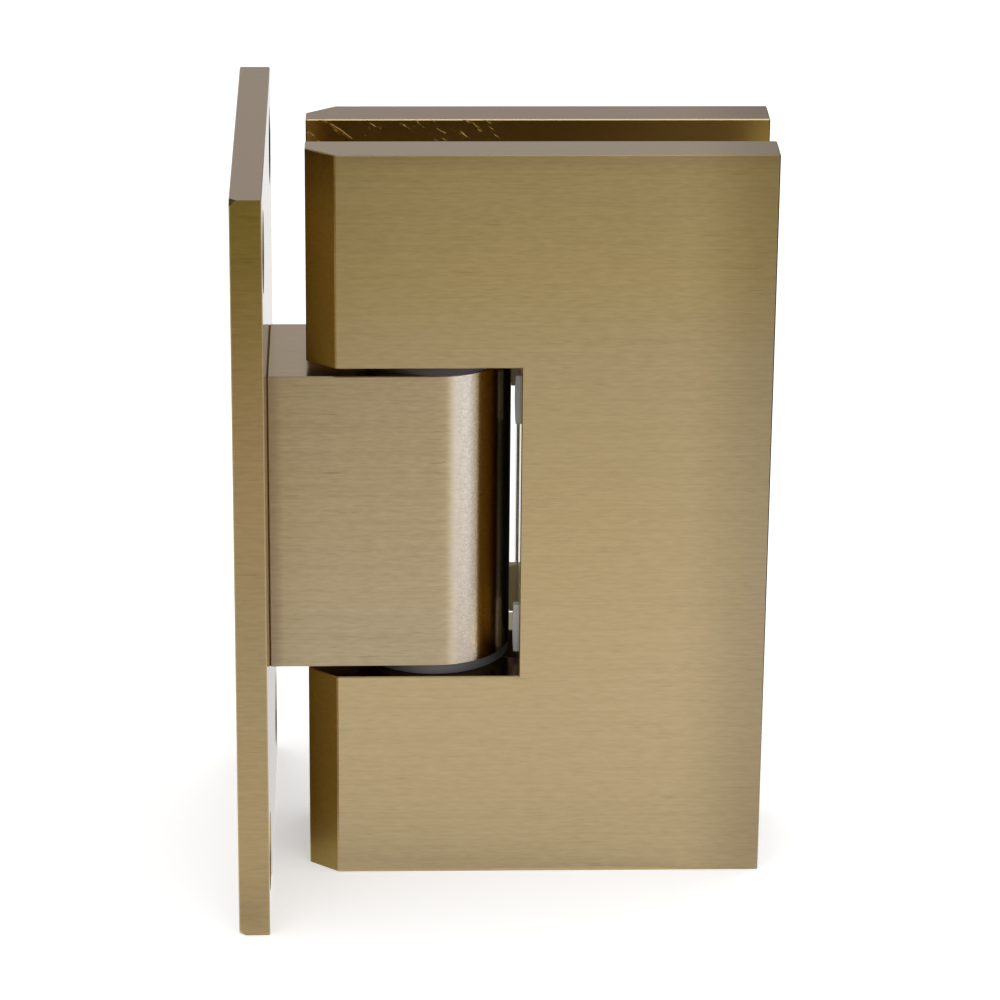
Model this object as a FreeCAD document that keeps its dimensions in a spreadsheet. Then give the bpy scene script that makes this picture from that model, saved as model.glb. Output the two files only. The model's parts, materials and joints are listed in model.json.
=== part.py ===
import FreeCAD, Part
import os

import Sketcher
from FreeCAD import Vector

# Frame: the origin is the centre of the wall plate's wall face. +X points away from the wall,
# +Z is up along the pivot, and -Y is the side of the front plate.

# Driving dimensions in millimetres
DIMENSIONS = [
    ("height", 90.0, "height of the wall plate and of both clamp plates"),
    ("edge_break", 0.12, "small chamfer on the machined edges"),
    ("slack", 0.05, "play between pieces that are seated in one another"),
    ("wall_width", 52.0, "wall plate across the wall"),
    ("wall_thick", 3.6, "wall plate thickness"),
    ("wall_pitch_across", 40.0, "wall screw holes, spacing across"),
    ("wall_pitch_up", 74.0, "wall screw holes, spacing up"),
    ("wall_hole", 5.2, "wall screw hole diameter"),
    ("wall_sink", 9.4, "wall screw countersink diameter"),
    ("wall_corner", 0.8, "facet that blunts the wall plate's front corners on the wall side"),
    ("pivot", 22.95, "pivot axis from the wall"),
    ("knuckle_thick", 18.2, "knuckle thickness and diameter of its round end"),
    ("knuckle_height", 36.5, "knuckle height"),
    ("bore", 13.0, "bore in the knuckle for the bushes"),
    ("pocket_width", 13.4, "spring pocket in the knuckle, across"),
    ("pocket_height", 19.0, "spring pocket height"),
    ("pocket_past_pivot", 4.2, "spring pocket's end beyond the pivot axis"),
    ("pocket_corner", 2.0, "radius of the spring pocket's end corners"),
    ("washer_dia", 18.0, "thrust washer outer diameter"),
    ("washer_thick", 1.05, "thrust washer thickness"),
    ("running_gap", 0.03, "radial clearance of the pin in its bushes"),
    ("pin_dia", 11.0, "pivot pin diameter"),
    ("pin_shoulder", 19.2, "end of the pin's round part, from the middle"),
    ("pin_flats", 9.8, "across the four detent flats"),
    ("flats_height", 20.0, "height of the detent flats"),
    ("tongue_thick", 5.0, "thickness of the pin's end tongues"),
    ("tongue_width", 9.4, "width of the pin's end tongues"),
    ("tongue_end", 33.0, "end of the tongues, from the middle"),
    ("tongue_corner", 1.2, "chamfer of the tongues' outer corners"),
    ("spring_thick", 1.0, "detent spring strip thickness"),
    ("spring_height", 18.0, "detent spring strip width, upright"),
    ("spring_bend", 1.6, "inner bend radius of the detent spring"),
    ("spring_past_pivot", 3.4, "spring tips beyond the pivot axis"),
    ("clamp_from_wall", 8.1, "clamp plates' wall-side edge, from the wall"),
    ("clamp_width", 53.9, "clamp plates' width"),
    ("plate_thick", 5.4, "clamp plate thickness"),
    ("glass_gap", 8.5, "gap between the clamp plates"),
    ("bevel_along", 3.4, "wall-side bevel, along the plate"),
    ("bevel_deep", 2.7, "wall-side bevel, into the plate"),
    ("notch_height", 38.7, "notch around the knuckle, height"),
    ("notch_past_pivot", 10.0, "notch's end beyond the pivot axis"),
    ("seat_width", 13.4, "tongue seat on the front plate, width"),
    ("seat_from", 20.4, "tongue seat's near end, from the middle"),
    ("seat_rise", 5.1, "tongue seat's cheeks above the plate"),
    ("seat_corner", 1.2, "chamfer of the tongue seat's corners"),
    ("boss_dia", 9.0, "boss for a clamp screw, diameter"),
    ("boss_rise", 5.0, "boss for a clamp screw, height above the plate"),
    ("slot_overrun", 0.4, "tongue slot's cut past the seat's ends"),
    ("gasket_thick", 1.0, "gasket thickness"),
    ("gasket_inset", 5.0, "gasket inside the plates' outline"),
    ("gasket_drop", 1.0, "how far the loose front gasket hangs below the middle"),
    ("gasket_lift", 1.0, "how far the loose rear gasket sits above the middle"),
    ("gasket_shift", 0.25, "how far the loose rear gasket sits towards the pivot"),
    ("gasket_behind", 0.35, "gasket's edge behind the notch's end"),
    ("gasket_step", 24.0, "gasket's step beside the tongue seats, from its middle"),
    ("gasket_arm", 35.0, "inner edge of the gasket's arms, from its middle"),
    ("gasket_play", 1.3, "gasket's play around seats and bosses"),
    ("tab_middle", 14.5, "middle of a gasket tab, from the gasket's middle"),
    ("tab_height", 6.0, "height of a gasket tab"),
    ("tab_reach", 0.5, "gasket tab's corners past the notch's end"),
    ("tab_bulge", 0.1, "bulge of the gasket tab's free edge"),
    ("block_screw", 5.0, "block screw diameter"),
    ("block_screw_head", 10.0, "block screw head diameter"),
    ("block_screw_long", 13.6, "block screw length with head"),
    ("block_screw_key", 3.0, "block screw hex socket across flats"),
    ("block_screw_at", 13.9, "block screws, from the middle"),
    ("pin_screw", 4.0, "pin screw diameter"),
    ("pin_screw_head", 8.0, "pin screw head diameter"),
    ("pin_screw_long", 10.0, "pin screw length with head"),
    ("pin_screw_key", 2.5, "pin screw hex socket across flats"),
    ("pin_screw_at", 27.0, "pin screws, from the middle"),
    ("clamp_screw", 6.0, "clamp screw diameter"),
    ("clamp_screw_head", 12.0, "clamp screw head diameter"),
    ("clamp_screw_long", 16.0, "clamp screw length with head"),
    ("clamp_screw_key", 4.0, "clamp screw hex socket across flats"),
    ("clamp_screw_out", 16.45, "clamp screws beyond the pivot axis"),
    ("clamp_screw_at", 26.5, "clamp screws, from the middle"),
    ("thread_room", 1.5, "threaded hole's depth past its screw's end"),
]

HALF = "dims.height / 2"
PIVOT = "dims.pivot"
CLAMP_LEFT = "dims.clamp_from_wall"
CLAMP_RIGHT = "(dims.clamp_from_wall + dims.clamp_width)"
CLAMP_FACE = "(dims.glass_gap / 2 + dims.plate_thick)"
INNER_FACE = "(dims.glass_gap / 2)"
NOTCH_END = "(dims.pivot + dims.notch_past_pivot)"
NOTCH_HALF = "dims.notch_height / 2"
KNUCKLE_TOP = "dims.knuckle_height / 2"
CLAMP_SCREW_X = "(dims.pivot + dims.clamp_screw_out)"
AROUND_PIN = "2 * dims.pin_dia"
SOCKET_DEPTH = 0.6
SINK_ANGLE = 90.0
ORIGIN = -1
X_AXIS = -1
Y_AXIS = -2
START = 1
END = 2
CENTRE = 3

doc = FreeCAD.newDocument("shower_door_hinge")


def make_sheet():
    sheet = doc.addObject("Spreadsheet::Sheet", "dims")
    for row, (alias, size, meaning) in enumerate(DIMENSIONS, start=1):
        sheet.set(f"A{row}", meaning)
        sheet.set(f"B{row}", str(size))
        sheet.setAlias(f"B{row}", alias)
    doc.recompute()
    return sheet


dims = make_sheet()


def value(expression):
    return float(dims.evalExpression(expression))


# Sketch helpers: every coordinate is an expression over the sheet

def new_body(label):
    body = doc.addObject("PartDesign::Body", label)
    body.Label = label
    return body


def new_sketch(body, name, role, offset=None):
    """Opens a sketch on one of the body's origin planes, moved along the plane's normal by offset.

    The normals are +Z for XY_Plane, -Y for XZ_Plane and +X for YZ_Plane.
    """
    plane = next(f for f in body.Origin.OriginFeatures if f.Role == role)
    sketch = body.newObject("Sketcher::SketchObject", f"{body.Label}_{name}")
    sketch.AttachmentSupport = (plane, [""])
    sketch.MapMode = "FlatFace"
    if offset:
        sketch.setExpression("AttachmentOffset.Base.z", offset)
    return sketch


def fix_size(sketch, constraint, expression):
    index = sketch.addConstraint(constraint)
    sketch.setExpression(f"Constraints[{index}]", expression)


def fix_point(sketch, shape, point, across, up):
    for kind, expression, axis in (("DistanceX", across, Y_AXIS), ("DistanceY", up, X_AXIS)):
        if expression == "0":
            sketch.addConstraint(Sketcher.Constraint("PointOnObject", shape, point, axis))
        else:
            distance = Sketcher.Constraint(kind, ORIGIN, START, shape, point, value(expression))
            fix_size(sketch, distance, expression)


def polygon(sketch, corners):
    """Draws a closed outline through corners, each a pair of expressions."""
    points = [Vector(value(across), value(up), 0) for across, up in corners]
    first = sketch.GeometryCount
    for start, end in zip(points, points[1:] + points[:1]):
        sketch.addGeometry(Part.LineSegment(start, end), False)
    for index, (across, up) in enumerate(corners):
        following = first + (index + 1) % len(corners)
        sketch.addConstraint(Sketcher.Constraint("Coincident", first + index, END, following, START))
        fix_point(sketch, first + index, START, across, up)


def rectangle(sketch, left, right, low, high):
    polygon(sketch, [(left, low), (right, low), (right, high), (left, high)])


def circle(sketch, across, up, diameter):
    middle = Vector(value(across), value(up), 0)
    shape = sketch.addGeometry(Part.Circle(middle, Vector(0, 0, 1), value(diameter) / 2), False)
    fix_point(sketch, shape, CENTRE, across, up)
    fix_size(sketch, Sketcher.Constraint("Diameter", shape, value(diameter)), diameter)


# Feature helpers

def add(body, kind, sketch, length, reverse=False):
    """Adds a Pad or Pocket of a bound length and makes sure that it changes the body's volume."""
    before = body.Tip.Shape.Volume if body.Tip else 0.0
    feature = body.newObject(f"PartDesign::{kind}", f"{sketch.Label}_{kind.lower()}")
    feature.Profile = sketch
    feature.Reversed = reverse
    feature.setExpression("Length", length)
    doc.recompute()
    grown = feature.Shape.Volume - before
    if (grown > 0) != (kind == "Pad"):
        raise RuntimeError(f"{feature.Label} changed the volume by {grown:.3f}")
    return feature


def drill(body, sketch, diameter, depth=None, sink=None, reverse=False):
    """Drills holes at a sketch's circles, through or to a depth, countersunk to the sink diameter."""
    before = body.Tip.Shape.Volume
    hole = body.newObject("PartDesign::Hole", f"{sketch.Label}_holes")
    hole.Profile = sketch
    doc.recompute()
    hole.Reversed = reverse
    hole.setExpression("Diameter", diameter)
    if depth:
        hole.DepthType = "Dimension"
        hole.DrillPoint = "Flat"
        hole.setExpression("Depth", depth)
    else:
        hole.DepthType = "ThroughAll"
    if sink:
        hole.HoleCutType = "Countersink"
        hole.HoleCutCustomValues = True
        hole.HoleCutCountersinkAngle = SINK_ANGLE
        hole.setExpression("HoleCutDiameter", sink)
    doc.recompute()
    if hole.Shape.Volume >= before:
        raise RuntimeError(f"{hole.Label} cut nothing")
    return hole


def head_sink(size):
    """Countersink diameter that lets a screw's head sit just below the face."""
    return f"dims.{size}_head + 4 * dims.slack"


def dress(body, kind, size_name, size, wanted):
    """Adds a Chamfer or Fillet to the edges of the body's tip for which wanted(edge) holds."""
    base = body.Tip
    edges = enumerate(base.Shape.Edges, start=1)
    names = [f"Edge{number}" for number, edge in edges if wanted(edge)]
    if not names:
        raise RuntimeError(f"{body.Label} has no edges for its {kind.lower()}")
    feature = body.newObject(f"PartDesign::{kind}", f"{body.Label}_{kind.lower()}")
    feature.Base = (base, names)
    feature.setExpression(size_name, size)
    doc.recompute()
    return feature


def chamfer(body, size, wanted):
    return dress(body, "Chamfer", "Size", size, wanted)


def fillet(body, size, wanted):
    return dress(body, "Fillet", "Radius", size, wanted)


TOUCH = 1e-4


def lies_at(edge, axis, place):
    """True if the whole edge has that coordinate, where axis is x, y or z."""
    low = getattr(edge.BoundBox, f"{axis.upper()}Min")
    high = getattr(edge.BoundBox, f"{axis.upper()}Max")
    return abs(low - place) < TOUCH and abs(high - place) < TOUCH


def runs_along(edge, axis):
    lengths = {"x": edge.BoundBox.XLength, "y": edge.BoundBox.YLength, "z": edge.BoundBox.ZLength}
    others = [size for name, size in lengths.items() if name != axis]
    return lengths[axis] > TOUCH and max(others) < TOUCH


def lower_twin(source, label):
    """Mirrors an upper piece below the middle."""
    twin = doc.addObject("Part::Mirroring", label)
    twin.Source = source
    twin.Normal = Vector(0, 0, 1)
    doc.recompute()
    return twin


# Wall plate

def blunt_front_corners(body):
    """Cuts a flat facet off both front corners of the wall face with a box that stands on the facet."""
    for end in (-1, 1):
        outward = Vector(-1, -1, end).normalize()
        turn = FreeCAD.Rotation(Vector(0, 0, 1), outward)
        inset = outward * (-1 / 3**0.5) - turn * Vector(2, 2, 0)
        box = body.newObject("PartDesign::SubtractiveBox", "wall_plate_corner")
        for size_name in ("Length", "Width", "Height"):
            box.setExpression(size_name, "4 * dims.wall_corner")
        box.Placement = FreeCAD.Placement(Vector(), turn)
        corner = ("0", "-dims.wall_width / 2", f"{end} * {HALF}")
        for axis, place, share in zip("xyz", corner, inset):
            box.setExpression(f"Placement.Base.{axis}", f"{place} + {share:.6f} * dims.wall_corner")
    doc.recompute()


def make_wall_plate():
    body = new_body("wall_plate")
    half_width = "dims.wall_width / 2"
    outline = new_sketch(body, "outline", "YZ_Plane")
    rectangle(outline, f"-{half_width}", half_width, f"-{HALF}", HALF)
    add(body, "Pad", outline, "dims.wall_thick")
    chamfer(body, "dims.edge_break", lambda edge: not runs_along(edge, "x"))
    blunt_front_corners(body)

    wall_screws = new_sketch(body, "wall_screws", "YZ_Plane", "dims.wall_thick")
    for side in ("", "-"):
        for end in ("", "-"):
            circle(
                wall_screws,
                f"{side}dims.wall_pitch_across / 2",
                f"{end}dims.wall_pitch_up / 2",
                "dims.wall_hole",
            )
    drill(body, wall_screws, "dims.wall_hole", sink="dims.wall_sink")

    block_screws = new_sketch(body, "block_screws", "YZ_Plane")
    for end in ("", "-"):
        circle(block_screws, "0", f"{end}dims.block_screw_at", "dims.block_screw")
    bolt_hole = "dims.block_screw + 4 * dims.slack"
    drill(body, block_screws, bolt_hole, sink=head_sink("block_screw"), reverse=True)
    return body


# Knuckle block with its bore and spring pocket

def make_knuckle_block():
    body = new_body("knuckle_block")
    half_thick = "dims.knuckle_thick / 2"
    outline = new_sketch(body, "outline", "XY_Plane", f"-{KNUCKLE_TOP}")
    radius = value(half_thick)
    wall = value("dims.wall_thick")
    axis = value(PIVOT)
    near_low = Vector(wall, -radius, 0)
    near_high = Vector(wall, radius, 0)
    far_low = Vector(axis, -radius, 0)
    far_high = Vector(axis, radius, 0)
    nose = Part.Arc(far_low, Vector(axis + radius, 0, 0), far_high)
    lower, rounded, upper, back = (
        outline.addGeometry(shape, False)
        for shape in (
            Part.LineSegment(near_low, far_low),
            nose,
            Part.LineSegment(far_high, near_high),
            Part.LineSegment(near_high, near_low),
        )
    )
    outline.addConstraint(Sketcher.Constraint("Tangent", lower, END, rounded, START))
    outline.addConstraint(Sketcher.Constraint("Tangent", rounded, END, upper, START))
    outline.addConstraint(Sketcher.Constraint("Coincident", upper, END, back, START))
    outline.addConstraint(Sketcher.Constraint("Coincident", back, END, lower, START))
    outline.addConstraint(Sketcher.Constraint("Vertical", back))
    outline.addConstraint(Sketcher.Constraint("Horizontal", lower))
    fix_point(outline, rounded, CENTRE, PIVOT, "0")
    fix_size(outline, Sketcher.Constraint("Radius", rounded, radius), half_thick)
    back_place = Sketcher.Constraint("DistanceX", ORIGIN, START, lower, START, wall)
    fix_size(outline, back_place, "dims.wall_thick")
    add(body, "Pad", outline, "dims.knuckle_height")
    top = value(KNUCKLE_TOP)

    def sharp_edge(edge):
        return lies_at(edge, "z", top) or lies_at(edge, "z", -top) or lies_at(edge, "x", wall)

    chamfer(body, "dims.edge_break", sharp_edge)

    pocket = new_sketch(body, "pocket", "XY_Plane", "-dims.pocket_height / 2")
    pocket_end = "(dims.pivot + dims.pocket_past_pivot)"
    half_pocket = "dims.pocket_width / 2"
    rectangle(pocket, "dims.wall_thick", pocket_end, f"-{half_pocket}", half_pocket)
    add(body, "Pocket", pocket, "dims.pocket_height", reverse=True)
    end_place = value(pocket_end)
    fillet(body, "dims.pocket_corner", lambda edge: runs_along(edge, "z") and lies_at(edge, "x", end_place))

    bore = new_sketch(body, "bore", "XY_Plane", f"-{KNUCKLE_TOP}")
    circle(bore, PIVOT, "0", "dims.bore")
    add(body, "Pocket", bore, "dims.knuckle_height", reverse=True)

    threads = new_sketch(body, "threads", "YZ_Plane", "dims.wall_thick")
    for end in ("", "-"):
        circle(threads, "0", f"{end}dims.block_screw_at", "dims.block_screw")
    depth = "dims.block_screw_long - dims.wall_thick + dims.thread_room"
    drill(body, threads, "dims.block_screw + dims.slack", depth=depth, reverse=True)
    return body


# Turned and moulded rings on the pivot

def make_ring(label, low, outer, inner, length):
    body = new_body(label)
    section = new_sketch(body, "section", "XY_Plane", low)
    circle(section, PIVOT, "0", outer)
    circle(section, PIVOT, "0", inner)
    add(body, "Pad", section, length)
    return body


def make_upper_bush():
    outer = "dims.bore - dims.slack"
    inner = "dims.pin_dia + 2 * dims.running_gap"
    length = f"{KNUCKLE_TOP} - dims.pocket_height / 2"
    return make_ring("upper_bush", "dims.pocket_height / 2", outer, inner, length)


def make_upper_washer():
    inner = "dims.pin_dia + 6 * dims.slack"
    return make_ring("upper_washer", KNUCKLE_TOP, "dims.washer_dia", inner, "dims.washer_thick")


# Spring clip that grips the pin's flats

def make_detent_spring():
    body = new_body("detent_spring")
    low = "-dims.spring_height / 2"
    back = "(dims.wall_thick + dims.slack)"
    tip = "(dims.pivot + dims.spring_past_pivot)"
    inner = "dims.pin_flats / 2"
    outer = "(dims.pin_flats / 2 + dims.spring_thick)"
    strip = new_sketch(body, "strip", "XY_Plane", low)
    rectangle(strip, back, tip, f"-{outer}", outer)
    add(body, "Pad", strip, "dims.spring_height")
    inside = new_sketch(body, "inside", "XY_Plane", low)
    rectangle(inside, f"{back} + dims.spring_thick", tip, f"-{inner}", inner)
    add(body, "Pocket", inside, "dims.spring_height", reverse=True)
    back_place = value(back)
    inner_place = value(f"{back} + dims.spring_thick")
    fillet(
        body,
        "dims.spring_bend + dims.spring_thick",
        lambda edge: runs_along(edge, "z") and lies_at(edge, "x", back_place),
    )
    fillet(
        body,
        "dims.spring_bend",
        lambda edge: runs_along(edge, "z") and lies_at(edge, "x", inner_place),
    )
    return body


# Pivot pin: round, with four flats at its middle and a tongue at each end

def make_pivot_pin():
    body = new_body("pivot_pin")
    round_part = new_sketch(body, "round", "XY_Plane", "-dims.pin_shoulder")
    circle(round_part, PIVOT, "0", "dims.pin_dia")
    add(body, "Pad", round_part, "2 * dims.pin_shoulder")

    flats = new_sketch(body, "flats", "XY_Plane", "-dims.flats_height / 2")
    circle(flats, PIVOT, "0", AROUND_PIN)
    half_flats = "dims.pin_flats / 2"
    rectangle(flats, f"{PIVOT} - {half_flats}", f"{PIVOT} + {half_flats}", f"-{half_flats}", half_flats)
    add(body, "Pocket", flats, "dims.flats_height", reverse=True)

    tongues = new_sketch(body, "tongues", "XZ_Plane", "-dims.tongue_thick / 2")
    half_tongue = "dims.tongue_width / 2"
    rectangle(
        tongues,
        f"{PIVOT} - {half_tongue}",
        f"{PIVOT} + {half_tongue}",
        "-dims.tongue_end",
        "dims.tongue_end",
    )
    add(body, "Pad", tongues, "dims.tongue_thick")
    end = value("dims.tongue_end")
    chamfer(
        body,
        "dims.tongue_corner",
        lambda edge: runs_along(edge, "y") and abs(edge.CenterOfMass.z) > end - TOUCH,
    )
    screws = new_sketch(body, "screws", "XZ_Plane", "-dims.tongue_thick / 2")
    for end_sign in ("", "-"):
        circle(screws, PIVOT, f"{end_sign}dims.pin_screw_at", "dims.pin_screw")
    clearance = "dims.pin_screw + 4 * dims.slack"
    drill(body, screws, clearance, sink=head_sink("pin_screw"), reverse=True)
    return body


# Clamp plates

def start_clamp_plate(label, face_offset, outward_reversed):
    """Makes the notched plate outline, its wall-side bevel and its broken edges."""
    body = new_body(label)
    outline = new_sketch(body, "outline", "XZ_Plane", face_offset)
    polygon(
        outline,
        [
            (CLAMP_LEFT, f"-{HALF}"),
            (CLAMP_RIGHT, f"-{HALF}"),
            (CLAMP_RIGHT, HALF),
            (CLAMP_LEFT, HALF),
            (CLAMP_LEFT, NOTCH_HALF),
            (NOTCH_END, NOTCH_HALF),
            (NOTCH_END, f"-{NOTCH_HALF}"),
            (CLAMP_LEFT, f"-{NOTCH_HALF}"),
        ],
    )
    add(body, "Pad", outline, "dims.plate_thick", reverse=outward_reversed)

    bevel = new_sketch(body, "bevel", "XY_Plane", f"-{HALF}")
    side = "" if outward_reversed else "-"
    polygon(
        bevel,
        [
            (CLAMP_LEFT, f"{side}{CLAMP_FACE}"),
            (f"{CLAMP_LEFT} + dims.bevel_along", f"{side}{CLAMP_FACE}"),
            (CLAMP_LEFT, f"{side}({CLAMP_FACE} - dims.bevel_deep)"),
        ],
    )
    add(body, "Pocket", bevel, "dims.height", reverse=True)

    notch_end = value(NOTCH_END)
    chamfer(
        body,
        "dims.edge_break",
        lambda edge: not (runs_along(edge, "y") and lies_at(edge, "x", notch_end)),
    )
    return body


def make_front_plate():
    body = start_clamp_plate("front_plate", INNER_FACE, False)
    seats = new_sketch(body, "seats", "XZ_Plane", INNER_FACE)
    half_seat = "dims.seat_width / 2"
    for end in ("", "-"):
        rectangle(
            seats,
            f"{PIVOT} - {half_seat}",
            f"{PIVOT} + {half_seat}",
            f"{end}dims.seat_from",
            f"{end}dims.tongue_end",
        )
    add(body, "Pad", seats, "dims.seat_rise", reverse=True)
    seat_sides = [value(f"{PIVOT} - {half_seat}"), value(f"{PIVOT} + {half_seat}")]

    def seat_corner(edge):
        return runs_along(edge, "y") and any(lies_at(edge, "x", side) for side in seat_sides)

    chamfer(body, "dims.seat_corner", seat_corner)

    bosses = new_sketch(body, "bosses", "XZ_Plane", INNER_FACE)
    for end in ("", "-"):
        circle(bosses, CLAMP_SCREW_X, f"{end}dims.clamp_screw_at", "dims.boss_dia")
    add(body, "Pad", bosses, "dims.boss_rise", reverse=True)

    slots = new_sketch(body, "slots", "XZ_Plane", f"{INNER_FACE} - dims.seat_rise")
    half_slot = "(dims.tongue_width / 2 + dims.slack)"
    for end in ("", "-"):
        rectangle(
            slots,
            f"{PIVOT} - {half_slot}",
            f"{PIVOT} + {half_slot}",
            f"{end}(dims.seat_from - dims.slot_overrun)",
            f"{end}(dims.tongue_end + dims.slot_overrun)",
        )
    slot_depth = f"dims.seat_rise - ({INNER_FACE} - dims.tongue_thick / 2)"
    add(body, "Pocket", slots, slot_depth, reverse=True)

    pin_threads = new_sketch(body, "pin_threads", "XZ_Plane", "dims.tongue_thick / 2")
    for end in ("", "-"):
        circle(pin_threads, PIVOT, f"{end}dims.pin_screw_at", "dims.pin_screw")
    pin_depth = "dims.pin_screw_long - dims.tongue_thick + dims.thread_room / 2"
    drill(body, pin_threads, "dims.pin_screw + dims.slack", depth=pin_depth, reverse=True)

    clamp_threads = new_sketch(body, "clamp_threads", "XZ_Plane", f"{INNER_FACE} - dims.boss_rise")
    for end in ("", "-"):
        circle(clamp_threads, CLAMP_SCREW_X, f"{end}dims.clamp_screw_at", "dims.clamp_screw")
    reach = f"dims.clamp_screw_long - ({CLAMP_FACE} + {INNER_FACE} - dims.boss_rise)"
    drill(
        body,
        clamp_threads,
        "dims.clamp_screw + dims.slack",
        depth=f"{reach} + dims.thread_room",
        reverse=True,
    )
    return body


def make_rear_plate():
    body = start_clamp_plate("rear_plate", f"-{INNER_FACE}", True)
    screws = new_sketch(body, "screws", "XZ_Plane", f"-{CLAMP_FACE}")
    for end in ("", "-"):
        circle(screws, CLAMP_SCREW_X, f"{end}dims.clamp_screw_at", "dims.clamp_screw")
    clearance = "dims.clamp_screw + 8 * dims.slack"
    drill(body, screws, clearance, sink=head_sink("clamp_screw"), reverse=True)
    return body


# Gaskets

def draw_tab(sketch, middle, corner_x, root_x):
    """Draws one gasket tab: two straight ends and a free edge that bulges towards the knuckle."""
    low = f"{middle} - dims.tab_height / 2"
    high = f"{middle} + dims.tab_height / 2"
    bottom, top, tip, root = value(low), value(high), value(corner_x), value(root_x)
    crown = Vector(tip - value("dims.tab_bulge"), value(middle), 0)
    lower = sketch.addGeometry(Part.LineSegment(Vector(root, bottom, 0), Vector(tip, bottom, 0)), False)
    edge = sketch.addGeometry(Part.Arc(Vector(tip, top, 0), crown, Vector(tip, bottom, 0)), False)
    upper = sketch.addGeometry(Part.LineSegment(Vector(tip, top, 0), Vector(root, top, 0)), False)
    back = sketch.addGeometry(Part.LineSegment(Vector(root, top, 0), Vector(root, bottom, 0)), False)
    sketch.addConstraint(Sketcher.Constraint("Coincident", lower, END, edge, END))
    sketch.addConstraint(Sketcher.Constraint("Coincident", edge, START, upper, START))
    sketch.addConstraint(Sketcher.Constraint("Coincident", upper, END, back, START))
    sketch.addConstraint(Sketcher.Constraint("Coincident", back, END, lower, START))
    fix_point(sketch, lower, START, root_x, low)
    fix_point(sketch, lower, END, corner_x, low)
    fix_point(sketch, upper, START, corner_x, high)
    fix_point(sketch, upper, END, root_x, high)
    radius = "((dims.tab_height / 2)^2 + dims.tab_bulge^2) / (2 * dims.tab_bulge)"
    fix_size(sketch, Sketcher.Constraint("Radius", edge, value(radius)), radius)


def make_gasket(label, face):
    """Makes a gasket whose face towards the glass lies at the XZ_Plane offset face."""
    body = new_body(label)
    left = f"({CLAMP_LEFT} + dims.gasket_inset)"
    right = f"({CLAMP_RIGHT} - dims.gasket_inset)"
    beside_notch = f"({NOTCH_END} + dims.gasket_behind)"
    beside_seat = f"({PIVOT} + dims.seat_width / 2 + dims.gasket_play)"
    upper = [
        (right, f"({HALF} - dims.gasket_inset)"),
        (left, f"({HALF} - dims.gasket_inset)"),
        (left, "dims.gasket_arm"),
        (beside_seat, "dims.gasket_arm"),
        (beside_seat, "dims.gasket_step"),
        (beside_notch, "dims.gasket_step"),
    ]
    lower = [(across, f"-{up}") for across, up in reversed(upper)]
    outline = new_sketch(body, "outline", "XZ_Plane", face)
    polygon(outline, upper + lower)
    add(body, "Pad", outline, "dims.gasket_thick")

    tabs = new_sketch(body, "tabs", "XZ_Plane", face)
    for end in ("", "-"):
        draw_tab(tabs, f"{end}dims.tab_middle", f"{NOTCH_END} - dims.tab_reach", beside_notch)
    add(body, "Pad", tabs, "dims.gasket_thick")

    holes = new_sketch(body, "holes", "XZ_Plane", face)
    for end in ("", "-"):
        circle(holes, CLAMP_SCREW_X, f"{end}dims.clamp_screw_at", "dims.boss_dia + 2 * dims.gasket_play")
    add(body, "Pocket", holes, "dims.gasket_thick", reverse=True)
    return body


def make_front_gasket():
    body = make_gasket("front_gasket", f"{INNER_FACE} - dims.gasket_thick")
    body.setExpression("Placement.Base.z", "-dims.gasket_drop")
    return body


def make_rear_gasket():
    body = make_gasket("rear_gasket", f"-{INNER_FACE}")
    body.setExpression("Placement.Base.x", "-dims.gasket_shift")
    body.setExpression("Placement.Base.z", "dims.gasket_lift")
    return body


# Countersunk hex-socket screws, modelled along Z with the head's top at the origin

def make_screw(label, size):
    """Makes one screw whose diameter, head, length and key are the sheet's values named after size."""
    body = new_body(label)
    shank = f"dims.{size} / 2"
    head = f"dims.{size}_head / 2"
    length = f"dims.{size}_long"
    profile = new_sketch(body, "profile", "XZ_Plane")
    polygon(
        profile,
        [
            ("0", "0"),
            (head, "0"),
            (shank, f"{shank} - {head}"),
            (shank, f"-{length}"),
            ("0", f"-{length}"),
        ],
    )
    turned = body.newObject("PartDesign::Revolution", f"{label}_turned")
    turned.Profile = profile
    turned.ReferenceAxis = (profile, ["V_Axis"])
    turned.Angle = 360.0
    doc.recompute()

    socket = new_sketch(body, "socket", "XY_Plane")
    key = f"dims.{size}_key"
    far = f"{key} / sqrt(3)"
    near = f"{key} / sqrt(12)"
    polygon(
        socket,
        [
            (far, "0"),
            (near, f"{key} / 2"),
            (f"-{near}", f"{key} / 2"),
            (f"-{far}", "0"),
            (f"-{near}", f"-{key} / 2"),
            (near, f"-{key} / 2"),
        ],
    )
    add(body, "Pocket", socket, f"{SOCKET_DEPTH} * {key}")
    return body


def screw_pair(label, size, direction, place):
    """Makes the upper screw, pointing along direction with its head at place, and its lower twin."""
    upper = make_screw(f"{size}_upper", size)
    upper.Placement = FreeCAD.Placement(Vector(), FreeCAD.Rotation(Vector(0, 0, -1), direction))
    for axis, expression in zip("xyz", place):
        upper.setExpression(f"Placement.Base.{axis}", expression)
    doc.recompute()
    lower = lower_twin(upper, f"{size}_lower")
    pair = doc.addObject("Part::Compound", label)
    pair.Links = [upper, lower]
    doc.recompute()
    return pair


# The whole hinge, node by node

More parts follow.
